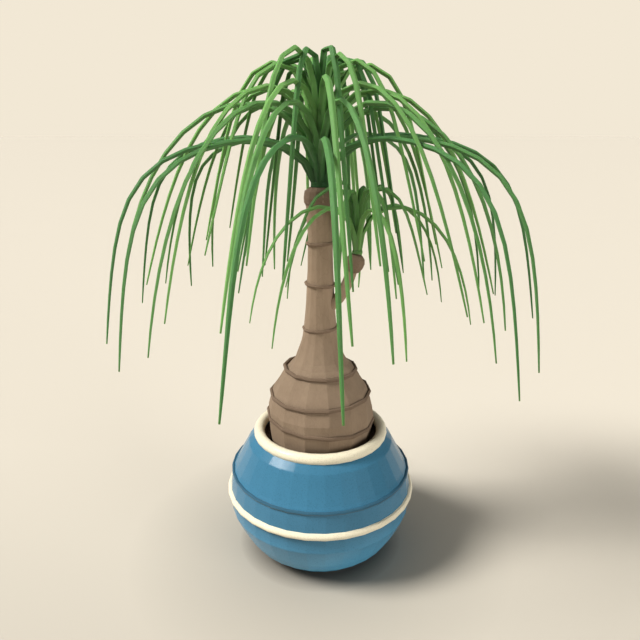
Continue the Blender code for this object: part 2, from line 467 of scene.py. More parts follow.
def grain_group() -> bpy.types.NodeTree:
    """Build, once, the group that mottles a colour and roughens a surface with stretched noise.

    Returns:
        The group, with inputs for the place, stretch, scale, detail, contrast and two colours, and outputs
        for the mottled colour and the mask, which also serves as the height of the relief.
    """
    found = bpy.data.node_groups.get("stretched_grain")
    if found is not None:
        return found
    group = bpy.data.node_groups.new("stretched_grain", "ShaderNodeTree")
    face = group.interface
    for name, kind in (("Place", "NodeSocketVector"), ("Stretch", "NodeSocketVector"),
                       ("Scale", "NodeSocketFloat"), ("Detail", "NodeSocketFloat"),
                       ("Contrast", "NodeSocketFloat"), ("Dark", "NodeSocketColor"),
                       ("Light", "NodeSocketColor")):
        face.new_socket(name=name, in_out="INPUT", socket_type=kind)
    for name, kind in (("Colour", "NodeSocketColor"), ("Mask", "NodeSocketFloat")):
        face.new_socket(name=name, in_out="OUTPUT", socket_type=kind)
    wires = Nodes(group)
    inside = group.nodes.new("NodeGroupInput")
    place = wires.stretched(inside.outputs["Place"], inside.outputs["Stretch"])
    cloud = wires.add("TexNoise", Vector=place, Scale=inside.outputs["Scale"],
                      Detail=inside.outputs["Detail"], Roughness=0.55)
    centred = wires.math("SUBTRACT", cloud.outputs["Fac"], 0.5)
    spread = wires.math("MULTIPLY", centred, inside.outputs["Contrast"])
    raised = wires.add("Math", set_operation="ADD", set_use_clamp=True, in0=spread, in1=0.5).outputs[0]
    colour = wires.mix(raised, inside.outputs["Dark"], inside.outputs["Light"])
    outside = group.nodes.new("NodeGroupOutput")
    group.links.new(colour, outside.inputs["Colour"])
    group.links.new(raised, outside.inputs["Mask"])
    return group


def grain(wires: Nodes, place: Socket, stretch: Stretch, scale: float, contrast: float, dark: Colour,
          light: Colour, detail: float = 6.0) -> bpy.types.Node:
    """Place the grain group in a material.

    Args:
        wires: The material's wiring.
        place: The coordinates' socket.
        stretch: How the coordinates are scaled along each axis.
        scale: The noise's scale.
        contrast: How strongly the noise is spread.
        dark: The colour where the noise is low.
        light: The colour where the noise is high.
        detail: The noise's octaves.

    Returns:
        The group's node.
    """
    node = wires.tree.nodes.new("ShaderNodeGroup")
    node.node_tree = grain_group()
    wires.tree.links.new(place, node.inputs["Place"])
    for name, value in (("Stretch", stretch), ("Scale", scale), ("Detail", detail), ("Contrast", contrast),
                        ("Dark", (*dark, 1.0)), ("Light", (*light, 1.0))):
        node.inputs[name].default_value = value
    return node


def new_material(name: str) -> tuple[bpy.types.Material, Nodes, bpy.types.Node]:
    """Start a material.

    Args:
        name: The material's name.

    Returns:
        The material, its wiring and its Principled shader.
    """
    material = bpy.data.materials.new(name)
    material.use_nodes = True
    return material, Nodes(material.node_tree), material.node_tree.nodes["Principled BSDF"]


def shade(colour: Colour, factor: float) -> Colour:
    """A colour made darker or lighter by a factor."""
    return tuple(min(1.0, channel * factor) for channel in colour)


def wire_surface(wires: Nodes, shader: bpy.types.Node, colour: Socket, rough: Socket, bump: bpy.types.Node,
                 **plain: object) -> None:
    """Wire a finish into its Principled shader.

    Args:
        wires: The material's wiring.
        shader: The shader.
        colour: The colour's socket.
        rough: The roughness's socket.
        bump: The Bump node.
        plain: What is the same all over, by the name of its input, with underscores for spaces.
    """
    for name, socket in (("Base Color", colour), ("Roughness", rough), ("Normal", bump.outputs["Normal"])):
        wires.tree.links.new(socket, shader.inputs[name])
    for name, value in plain.items():
        shader.inputs[name.replace("_", " ")].default_value = value


@dataclass(frozen=True)
class GlazeFinish:
    """A fired glaze: slightly uneven in tone, with fine pin marks, painted paler low down as painted bounce
    light from the floor, with bare clay under it.

    Args:
        name: The material's name.
        colour: The glaze's main colour.
        tone: How far its tone varies, as a share.
        roughness: The roughness of the glaze.
        coat: The weight of its clear top layer.
        bare_below: The height under which the clay is bare, or None where there is no bare clay.
        bare_edge: The height over which the glaze ends.
        painted_bounce: How many times paler the glaze is painted low down, as painted bounce light thrown back
            from the floor.
        painted_bounce_heights: Where the painted bounce light starts, and where it is strongest.
        cloud: The scale and contrast of its uneven tone.
        flecks: The scale and contrast of the pin marks.
        fleck_shade: The colour in a pin mark, as a share of the glaze's.
        ripple: The scale of the wavy surface.
        bump: The strength and depth of the relief.
        coat_roughness: The roughness of the clear top layer.
        shine: The strength of the reflection.
        clay: The darker and lighter colour of the bare clay.
    """

    name: str
    colour: Colour
    tone: float
    roughness: float
    coat: float
    bare_below: float | None = None
    bare_edge: float = 0.0006
    painted_bounce: float = 1.0
    painted_bounce_heights: tuple[float, float] = (0.066, 0.020)
    cloud: tuple[float, float] = (26.0, 1.8)
    flecks: tuple[float, float] = (900.0, 5.0)
    fleck_shade: float = 0.62
    ripple: float = 55.0
    bump: tuple[float, float] = (0.10, 0.0006)
    coat_roughness: float = 0.06
    shine: float = 0.25
    clay: tuple[Colour, Colour] = ((0.36, 0.25, 0.17), (0.50, 0.38, 0.27))

    def build(self) -> bpy.types.Material:
        """Make the material.

        Returns:
            The material.
        """
        material, wires, shader = new_material(self.name)
        place = wires.place()
        cloud = grain(wires, place, (1.0, 1.0, 1.6), *self.cloud, shade(self.colour, 1.0 - self.tone),
                      shade(self.colour, 1.0 + self.tone))
        flecks = grain(wires, place, EVEN, *self.flecks, self.colour, self.colour, 2.0)
        few = wires.ramp(flecks.outputs["Mask"], 0.02, 0.16, 0.35, 0.0)
        colour = wires.mix(few, cloud.outputs["Colour"], shade(self.colour, self.fleck_shade))
        rough = wires.ramp(cloud.outputs["Mask"], 0.0, 1.0, self.roughness * 0.85, self.roughness * 1.25)
        ripple = wires.add("TexNoise", Vector=place, Scale=self.ripple, Detail=2.0, Roughness=0.4)
        height = wires.add("Math", set_operation="MULTIPLY_ADD", in0=few, in1=-0.6, in2=ripple.outputs["Fac"])
        bump = wires.add("Bump", Strength=self.bump[0], Distance=self.bump[1], Height=height.outputs[0])
        shader.inputs["Coat Weight"].default_value = self.coat
        if self.bare_below is not None:
            low = wires.axis(place, "Z")
            clay = grain(wires, place, EVEN, 420.0, 2.0, *self.clay)
            bare = wires.ramp(low, self.bare_below, self.bare_below + self.bare_edge, 1.0, 0.0)
            # Painted bounce light: the glaze is painted paler low down, standing in for light thrown back from
            # the floor.
            colour = wires.dim(colour, wires.ramp(low, *self.painted_bounce_heights, 1.0, self.painted_bounce))
            colour = wires.mix(bare, colour, clay.outputs["Colour"])
            rough = wires.ramp(bare, 0.0, 1.0, self.roughness, 0.85)
            glossy = wires.ramp(bare, 0.0, 1.0, self.coat, 0.0)
            wires.tree.links.new(glossy, shader.inputs["Coat Weight"])
        wire_surface(wires, shader, colour, rough, bump, Coat_Roughness=self.coat_roughness,
                     Specular_IOR_Level=self.shine)
        return material


@dataclass(frozen=True)
class BarkFinish:
    """Dry bark: fine grain, narrow dark cracks and paler corky patches, painted paler up the shaft as painted
    light.

    Args:
        name: The material's name.
        dark: The colour in the grain's hollows.
        light: The colour of the corky ridges.
        crack: The colour of the cracks.
        stretch: How the grain is stretched along each axis.
        painted_light_lift: How many times paler the bark is painted up the shaft, as painted light on the
            shaft.
        painted_light_heights: Where the painted light starts, and where it is full.
        patches: The scale and contrast of the corky patches.
        fibres: The scale and contrast of the grain.
        cracks: The scale of the plates between cracks.
        bump: The strength and depth of the relief.
        shine: The strength of the reflection.
    """

    name: str
    dark: Colour
    light: Colour
    crack: Colour
    stretch: Stretch
    painted_light_lift: float = 1.40
    painted_light_heights: tuple[float, float] = (0.20, 0.29)
    patches: tuple[float, float] = (38.0, 2.2)
    fibres: tuple[float, float] = (420.0, 1.5)
    cracks: float = 210.0
    bump: tuple[float, float] = (0.22, 0.0005)
    shine: float = 0.25

    def build(self) -> bpy.types.Material:
        """Make the material.

        Returns:
            The material.
        """
        material, wires, shader = new_material(self.name)
        place = wires.place()
        patch = grain(wires, place, (1.0, 1.0, 0.8), *self.patches, self.dark, self.light)
        fibre = grain(wires, place, self.stretch, *self.fibres, shade(self.dark, 0.92),
                      shade(self.light, 1.04))
        colour = wires.mix(0.45, patch.outputs["Colour"], fibre.outputs["Colour"])
        cells = wires.add("TexVoronoi", set_feature="DISTANCE_TO_EDGE", Scale=self.cracks, Randomness=1.0,
                          Vector=wires.stretched(place, (1.0, 1.0, 0.42)))
        crack = wires.ramp(cells.outputs["Distance"], 0.0, 0.06, 1.0, 0.0)
        worn = wires.math("MULTIPLY", crack, wires.ramp(patch.outputs["Mask"], 0.35, 0.75, 0.16, 0.02))
        colour = wires.mix(worn, colour, self.crack)
        # Painted light: the bark is painted paler up the shaft, standing in for light that reaches it.
        colour = wires.dim(colour, wires.ramp(wires.axis(place, "Z"), *self.painted_light_heights, 1.0, self.painted_light_lift))
        rough = wires.ramp(fibre.outputs["Mask"], 0.0, 1.0, 0.78, 0.95)
        relief = wires.math("SUBTRACT", wires.math("MULTIPLY", fibre.outputs["Mask"], 0.6), worn)
        bump = wires.add("Bump", Strength=self.bump[0], Distance=self.bump[1], Height=relief)
        wire_surface(wires, shader, colour, rough, bump, Specular_IOR_Level=self.shine)
        return material


@dataclass(frozen=True)
class SoilFinish:
    """Moist potting mix: dark, grainy and matt.

    Args:
        name: The material's name.
        dark: The colour of the wet mix.
        light: The colour of its drier grains.
        grains: The scale and contrast of the grains.
        damp: The scale and contrast of the damp patches.
        bump: The strength and depth of the relief.
        shine: The strength of the reflection.
    """

    name: str
    dark: Colour
    light: Colour
    grains: tuple[float, float] = (700.0, 3.0)
    damp: tuple[float, float] = (60.0, 2.0)
    bump: tuple[float, float] = (0.7, 0.0008)
    shine: float = 0.2

    def build(self) -> bpy.types.Material:
        """Make the material.

        Returns:
            The material.
        """
        material, wires, shader = new_material(self.name)
        place = wires.place()
        fine = grain(wires, place, EVEN, *self.grains, self.dark, self.light)
        damp = grain(wires, place, EVEN, *self.damp, shade(self.dark, 0.7), self.light)
        colour = wires.mix(0.4, fine.outputs["Colour"], damp.outputs["Colour"])
        rough = wires.ramp(damp.outputs["Mask"], 0.0, 1.0, 0.80, 0.98)
        bump = wires.add("Bump", Strength=self.bump[0], Distance=self.bump[1], Height=fine.outputs["Mask"])
        wire_surface(wires, shader, colour, rough, bump, Specular_IOR_Level=self.shine)
        return material


@dataclass(frozen=True)
class LeafFinish:
    """Strap leaves: a green that differs from leaf to leaf, fine ribs along the blade, a root darkened partly
    by painted shade, and a duller tip.

    Args:
        name: The material's name.
        dark: The darkest green, partly painted shade on the lower leaves under the others.
        light: The lightest green.
        root: The darker colour at the root, partly the leaves' own darker green and partly painted shade where
            the leaves crowd.
        tip: The colour of the tip.
        ribs: Ribs across the blade's width.
        root_share: The share of the length over which the root's colour fades.
        tip_share: The share of the length where the tip's colour starts.
        blotches: The scale and contrast of the blotches.
        blotch_shades: The darker and lighter tint of the blotches.
        bump: The strength and depth of the relief.
        shine: The strength of the reflection.
        glow: The weight and depth of the light that comes through the blade.
        glow_reach: How far each colour of it goes, as a share of that depth.
    """

    name: str
    dark: Colour
    light: Colour
    root: Colour
    tip: Colour
    ribs: float
    root_share: float = 0.16
    tip_share: float = 0.975
    blotches: tuple[float, float] = (34.0, 2.0)
    blotch_shades: tuple[Colour, Colour] = ((0.92, 0.93, 0.90), (1.06, 1.04, 1.03))
    bump: tuple[float, float] = (0.25, 0.0003)
    shine: float = 0.22
    glow: tuple[float, float] = (0.45, 0.004)
    glow_reach: Colour = (0.5, 1.0, 0.3)

    def build(self) -> bpy.types.Material:
        """Make the material.

        Returns:
            The material.
        """
        material, wires, shader = new_material(self.name)
        tone = wires.add("Attribute", set_attribute_name=TONE).outputs["Fac"]
        along = wires.add("Attribute", set_attribute_name=ALONG).outputs["Fac"]
        strip = wires.add("UVMap", set_uv_map=UV_NAME).outputs["UV"]
        green = wires.mix(tone, self.dark, self.light)
        rib = wires.add("TexNoise", Vector=wires.stretched(strip, (self.ribs, 3.0, 0.0)), Scale=1.0,
                        Detail=2.0, Roughness=0.5).outputs["Fac"]
        green = wires.dim(green, wires.ramp(rib, 0.30, 0.70, 0.93, 1.05))
        blotch = grain(wires, wires.place(), EVEN, *self.blotches, *self.blotch_shades)
        green = wires.mix(1.0, green, blotch.outputs["Colour"], "MULTIPLY")
        # Darker roots: partly the leaves' own darker green, partly painted shade where they crowd.
        green = wires.mix(wires.ramp(along, 0.0, self.root_share, 0.90, 0.0), green, self.root)
        green = wires.mix(wires.ramp(along, self.tip_share, 1.0, 0.0, 0.7), green, self.tip)
        rough = wires.ramp(rib, 0.2, 0.8, 0.52, 0.68)
        bump = wires.add("Bump", Strength=self.bump[0], Distance=self.bump[1], Height=rib)
        wire_surface(wires, shader, green, rough, bump, Specular_IOR_Level=self.shine,
                     Subsurface_Weight=self.glow[0], Subsurface_Radius=self.glow_reach,
                     Subsurface_Scale=self.glow[1])
        return material


# ---------------------------------------------------------------- pot


@dataclass
class GlazedPot:
    """The round-bellied pot, turned in flat facets, with its rolled rim, belly band and shoulder line."""

    sides: int = 32
    turn: float = math.radians(-86.96)
    foot_radius: float = 0.060
    foot_edge: float = 0.0010
    floor: float = 0.0085
    belly_radius: float = 0.0964
    band_height: float = 0.070
    band_tube: float = 0.0036
    line_radius: float = 0.0931
    line_height: float = 0.0930
    line_tube: float = 0.0018
    rim_radius: float = 0.0645
    rim_height: float = 0.134
    rim_tube: float = 0.0056
    # Where the wall goes into the rim, outside and inside, and into the band, as shares of their tubes.
    rim_seat: tuple[float, float] = (0.2, -0.6)
    band_seat: float = 0.8
    # The height of the foot's worn edge, as a share of its width.
    foot_slope: float = 0.6
    edge_softness: float = 0.0007
    edge_angle: float = 4.0
    moulding_angle: float = 30.0
    lower_wall: Profile = ((0.0665, 0.0045), (0.0775, 0.0150), (0.0845, 0.0260), (0.0905, 0.0380),
                           (0.0956, 0.0500))
    upper_wall: Profile = ((0.0897, 0.0980), (0.0759, 0.1240))
    inner_wall: Profile = ((0.0610, 0.1275), (0.0715, 0.1180), (0.0835, 0.0980), (0.0895, 0.0820),
                           (0.0903, 0.0600), (0.0893, 0.0500), (0.0845, 0.0390), (0.0785, 0.0275),
                           (0.0715, 0.0180), (0.0620, 0.0100))

    def build(self) -> None:
        """Model the four pieces and dress them."""
        # The blue glaze is painted up to 2.1 times paler towards the foot, as painted bounce light.
        blue = GlazeFinish("blue_glaze", (0.040, 0.142, 0.226), 0.05, 0.26, 0.08, bare_below=0.0004,
                           painted_bounce=2.10).build()
        cream = GlazeFinish("cream_glaze", (0.650, 0.590, 0.440), 0.03, 0.34, 0.25).build()
        dark = GlazeFinish("dark_glaze", (0.028, 0.085, 0.130), 0.06, 0.34, 0.10).build()
        mount(self.wall(), Slot.BLUE, blue, "pot")
        for name, radius, height, tube, steps, slot, glaze in (
                ("pot_rim", self.rim_radius, self.rim_height, self.rim_tube, 16, Slot.CREAM, cream),
                ("pot_band", self.belly_radius, self.band_height, self.band_tube, 12, Slot.CREAM, cream),
                ("pot_line", self.line_radius, self.line_height, self.line_tube, 8, Slot.DARK, dark)):
            mount(self.moulding(name, radius, height, tube, steps), slot, glaze)

    def wall(self) -> bpy.types.Object:
        """The hollow wall and flat foot, with softened facet edges.

        Returns:
            The finished piece.
        """
        outside = [(self.foot_radius - self.foot_edge, 0.0),
                   (self.foot_radius, self.foot_edge * self.foot_slope)]
        outside += self.lower_wall
        outside += [(self.belly_radius, self.band_height - self.band_tube * self.band_seat),
                    (self.belly_radius, self.band_height + self.band_tube * self.band_seat),
                    (self.line_radius, self.line_height)]
        outside += self.upper_wall
        outside += [(self.rim_radius + self.rim_tube * share, self.rim_height) for share in self.rim_seat]
        profile = [*outside, *self.inner_wall]
        rings = [level_ring(radius, height, self.sides, self.turn) for radius, height in profile]
        pot = skin("pot_wall", rings, Vector((0, 0, 0)), Vector((0, 0, self.floor)))
        face_out(pot)
        bevel = pot.modifiers.new("soft edges", "BEVEL")
        bevel.width = self.edge_softness
        bevel.segments = 2
        bevel.limit_method = "ANGLE"
        bevel.angle_limit = math.radians(self.edge_angle)
        bevel.use_clamp_overlap = True
        apply_modifiers(pot)
        smooth(pot, self.edge_angle)
        return pot

    def moulding(self, name: str, radius: float, height: float, tube: float, steps: int) -> bpy.types.Object:
        """A round moulding that runs round the pot in the pot's own facets.

        Args:
            name: The piece's name.
            radius: The radius of the moulding's middle line.
            height: The height of its middle line.
            tube: The radius of its section.
            steps: Points round its section.

        Returns:
            The finished piece.
        """
        deselect()
        bpy.ops.mesh.primitive_torus_add(
            major_segments=self.sides, minor_segments=steps, major_radius=radius, minor_radius=tube,
            location=(0.0, 0.0, height), rotation=(0.0, 0.0, self.turn))
        moulding = bpy.context.object
        moulding.name = name
        moulding.data.name = name
        settle(moulding)
        smooth(moulding, self.moulding_angle)
        return moulding


# ---------------------------------------------------------------- trunk


@dataclass(frozen=True)
class Scar:
    """A ring scar: its height, outer radius and half height, and how far it leans up to one side."""

    height: float
    radius: float
    half_height: float
    lean: float
    lean_azimuth: float


@dataclass
class PalmTrunk:
    """The swollen base, shaft and side branch in ringed bark, with the cap and knob under the leaves."""

    sides: int = 14
    turn: float = math.radians(-80.6)
    foot: float = 0.0865
    top: float = 0.3850
    unevenness: float = 0.012
    outline: Profile = (
        (0.0180, 0.0875), (0.0330, 0.0930), (0.0440, 0.1030), (0.0500, 0.1160), (0.0530, 0.1300),
        (0.0545, 0.1445), (0.0549, 0.1530), (0.0543, 0.1620), (0.0523, 0.1710), (0.0500, 0.1790),
        (0.0468, 0.1850), (0.0429, 0.1915), (0.0390, 0.1980), (0.0345, 0.2050), (0.0295, 0.2095),
        (0.0256, 0.2150), (0.0229, 0.2215), (0.0206, 0.2285), (0.0182, 0.2360), (0.0166, 0.2460),
        (0.0150, 0.2610), (0.0139, 0.2750), (0.0134, 0.2900), (0.0126, 0.3060), (0.0121, 0.3220),
        (0.0119, 0.3400), (0.0129, 0.3510), (0.0137, 0.3620), (0.0138, 0.3685), (0.0149, 0.3705),
        (0.0155, 0.3755), (0.0143, 0.3815), (0.0095, 0.3850))
    scars: Sequence[Scar] = (
        Scar(0.1505, 0.0568, 0.0022, 0.0045, math.pi), Scar(0.1775, 0.0530, 0.0022, 0.0006, 0.0),
        Scar(0.2038, 0.0383, 0.0022, 0.0012, math.pi), Scar(0.2471, 0.0182, 0.0016, 0.0008, 0.0),
        Scar(0.2918, 0.0158, 0.0016, 0.0010, math.pi), Scar(0.3326, 0.0143, 0.0016, 0.0006, 0.0))
    branch_sides: int = 10
    branch_azimuth: float = math.radians(-15.0)
    branch_line: Sequence[tuple[float, float, float]] = (
        (0.0050, 0.2650, 0.0060), (0.0120, 0.2720, 0.0062), (0.0185, 0.2785, 0.0060), (0.0240, 0.2870, 0.0057),
        (0.0280, 0.2965, 0.0055), (0.0313, 0.3065, 0.0054), (0.0321, 0.3085, 0.0074), (0.0332, 0.3115, 0.0087),
        (0.0344, 0.3155, 0.0091), (0.0354, 0.3195, 0.0080), (0.0361, 0.3225, 0.0054))
    shoot_foot: tuple[float, float] = (0.0364, 0.3242)
    knob_start: int = 5
    knob_radius: float = 0.008
    cap_bottom: float = 0.3680
    # How narrow the cap's lowest ring is, as a share, and how far it drops.
    cap_tuck: tuple[float, float] = (0.97, 0.0008)
    relief: float = 0.00010
    row_step: float = 0.0022
    swelling_step: float = 0.0012
    lip_root: float = 0.0004
    lip_steps: int = 8
    lip_raggedness: float = 0.22
    # The scale of the fissures across and up the trunk, and their share of the relief.
    fissures: tuple[float, float, float] = (260.0, 45.0, 0.8)
    # The scale of the lumps, and their share of the relief.
    lumps: tuple[float, float] = (120.0, 0.6)

    def build(self) -> None:
        """Model the bark, the ring scars, the cap and the knob, and dress them."""
        # Both barks are painted paler up the shaft as painted light, the scar bark 1.45 times.
        bark = BarkFinish("bark", (0.180, 0.128, 0.085), (0.233, 0.171, 0.117), (0.088, 0.058, 0.037),
                          (1.0, 1.0, 0.16)).build()
        scar = BarkFinish("scar_bark", (0.106, 0.072, 0.048), (0.168, 0.118, 0.081), (0.040, 0.025, 0.016),
                          (1.0, 1.0, 2.2), 1.45).build()
        mount(self.bark(), Slot.BARK, bark, "trunk")
        mount(self.ring_scars(), Slot.SCAR, scar)
        mount(self.cap(), Slot.SCAR, scar)
        mount(self.knob(), Slot.SCAR, scar)

    def shoot_place(self) -> Vector:
        """Where the side leaves stand, over the knob."""
        out, height = self.shoot_foot
        return Vector((out * math.cos(self.branch_azimuth), out * math.sin(self.branch_azimuth), height))

    def rings(self, grow: float = 0.0) -> list[Ring]:
        """The flat-sided rings of the bark, each point a little in or out.

        Args:
            grow: How far all points are moved out.

        Returns:
            The rings from the foot up.
        """
        rng = random.Random(7)
        rings = []
        for radius, height in self.outline:
            ring = []
            for point in level_ring(radius, height, self.sides, self.turn):
                reach = 1.0 + rng.uniform(-self.unevenness, self.unevenness) + grow / radius
                ring.append(Vector((point.x * reach, point.y * reach, height)))
            rings.append(ring)
        return rings

    def roughen(self, rings: Sequence[Ring], depth: float, seed: float) -> list[Ring]:
        """Give flat-sided rings the relief of bark: upright fissures and small lumps.

        Args:
            rings: The fine rings.
            depth: How far the relief goes in or out.
            seed: Where the relief is read.

        Returns:
            The rings with relief.
        """
        across, up, fissured = self.fissures
        scale, lumpy = self.lumps
        rough = []
        for ring in rings:
            middle = centre_of(ring)
            row = []
            for point in ring:
                away = (point - middle).normalized()
                fissure = noise.fractal(Vector((point.x * across, point.y * across, point.z * up + seed)),
                                        0.8, 2.0, 3)
                lump = noise.noise(Vector((point.x * scale, point.y * scale, point.z * scale + seed)))
                row.append(point + away * depth * (fissure * fissured + lump * lumpy))
            rough.append(row)
        return rough

    def bark(self) -> bpy.types.Object:
        """The swollen base and shaft with the side branch grown out of them.

        Returns:
            The finished piece.
        """
        rings = self.roughen(refine(self.rings(), 4, self.row_step), self.relief, 3.0)
        trunk = skin("trunk_bark", rings, Vector((0, 0, self.foot)), Vector((0, 0, self.top)))
        branch = skin("branch", self.roughen(refine(self.branch_rings(), 3, self.row_step), self.relief, 9.0))
        face_out(trunk)
        face_out(branch)
        union = trunk.modifiers.new("grown together", "BOOLEAN")
        union.operation = "UNION"
        union.solver = "EXACT"
        union.object = branch
        apply_modifiers(trunk)
        bpy.data.objects.remove(branch)
        smooth(trunk, 9.0)
        return trunk

    def branch_rings(self) -> list[Ring]:
        """The flat-sided rings of the side branch and its knob.

        Returns:
            The rings, from inside the trunk out.
        """
        outward = Vector((math.cos(self.branch_azimuth), math.sin(self.branch_azimuth), 0.0))
        across = outward.cross(Vector((0, 0, 1)))
        centres = [outward * out + Vector((0, 0, height)) for out, height, _ in self.branch_line]
        rings = []
        for i, centre in enumerate(centres):
            along = (centres[min(i + 1, len(centres) - 1)] - centres[max(i - 1, 0)]).normalized()
            normal = across.cross(along)
            radius = self.branch_line[i][2]
            angles = [2.0 * math.pi * k / self.branch_sides for k in range(self.branch_sides)]
            rings.append([centre + radius * (across * math.cos(a) + normal * math.sin(a)) for a in angles])
        return rings

    def ring_scars(self) -> bpy.types.Object:
        """The proud lips that old leaf bases left round the trunk, a little uneven along their edges.

        Returns:
            The finished piece.
        """
        parts = []
        rng = random.Random(21)
        for scar in self.scars:
            depth = (scar.radius - radius_at(self.outline, scar.height)) * 0.5 + self.lip_root
            edge = []
            for point in level_ring(scar.radius - depth, scar.height, self.sides, self.turn):
                reach = 1.0 + rng.uniform(-0.5, 0.5) * self.unevenness
                edge.append(Vector((*(point.xy * reach), point.z)))
            parts.append(self.lip(scar, refine([edge, edge], 4, 1.0)[0], depth))
        scars = join("ring_scars", parts)
        face_out(scars)
        smooth(scars, 24.0)
        return scars

    def lip(self, scar: Scar, line: Ring, depth: float) -> bpy.types.Object:
        """One scar's lip: a ring with a ragged outer edge, laid along a line round the trunk.

        Args:
            scar: The scar.
            line: The lip's middle line.
            depth: How far it reaches in and out from that line.

        Returns:
            The lip.
        """
        deselect()
        tube = 0.25
        bpy.ops.mesh.primitive_torus_add(major_segments=len(line), minor_segments=self.lip_steps,
                                         major_radius=1.0, minor_radius=tube)
        lip = bpy.context.object
        for vertex in lip.data.vertices:
            station = round(math.atan2(vertex.co.y, vertex.co.x) / (2.0 * math.pi) * len(line)) % len(line)
            out = (math.hypot(vertex.co.x, vertex.co.y) - 1.0) / tube
            up = vertex.co.z / tube
            centre = line[station]
            away = Vector((centre.x, centre.y, 0.0)).normalized()
            lean = scar.lean * math.cos(math.atan2(centre.y, centre.x) - scar.lean_azimuth)
            wave = noise.noise(Vector((station * 0.8, scar.height * 400.0, up * 0.4)))
            ragged = 1.0 + self.lip_raggedness * wave
            vertex.co = (centre + away * out * depth * (1.0 if out < 0.5 else ragged)
                         + Vector((0, 0, lean + up * scar.half_height * ragged)))
        lip.data.update()
        return lip

    def cap(self) -> bpy.types.Object:
        """The dark swollen cap at the top of the trunk, under the main head of leaves.

        Returns:
            The finished piece.
        """
        rings = [ring for ring in self.rings(GAP) if ring[0].z > self.cap_bottom]
        share, drop = self.cap_tuck
        low = [Vector((point.x * share, point.y * share, point.z - drop)) for point in rings[0]]
        return self.swelling("trunk_cap", [low, *rings], self.relief * 1.6, 5.0)

    def knob(self) -> bpy.types.Object:
        """The dark knob at the end of the side branch, under the side leaves.

        Returns:
            The finished piece.
        """
        rings = []
        for ring in self.branch_rings()[self.knob_start:]:
            middle = centre_of(ring)
            rings.append([middle + (point - middle) * (1.0 + GAP / self.knob_radius) for point in ring])
        return self.swelling("shoot_knob", rings, self.relief * 1.4, 8.0)

    def swelling(self, name: str, rings: Sequence[Ring], relief: float, seed: float) -> bpy.types.Object:
        """A swollen end that leaves grow from, flat where it reaches the trunk's top.

        Args:
            name: The piece's name.
            rings: Its flat-sided rings.
            relief: How far the relief of its bark goes in or out.
            seed: Where the relief is read.

        Returns:
            The finished piece.
        """
        fine = self.roughen(refine(rings, 3, self.swelling_step), relief, seed)
        level = [[Vector((point.x, point.y, min(point.z, self.top))) for point in ring] for ring in fine]
        piece = skin(name, level)
        face_out(piece)
        smooth(piece, 12.0)
        return piece


# ---------------------------------------------------------------- soil


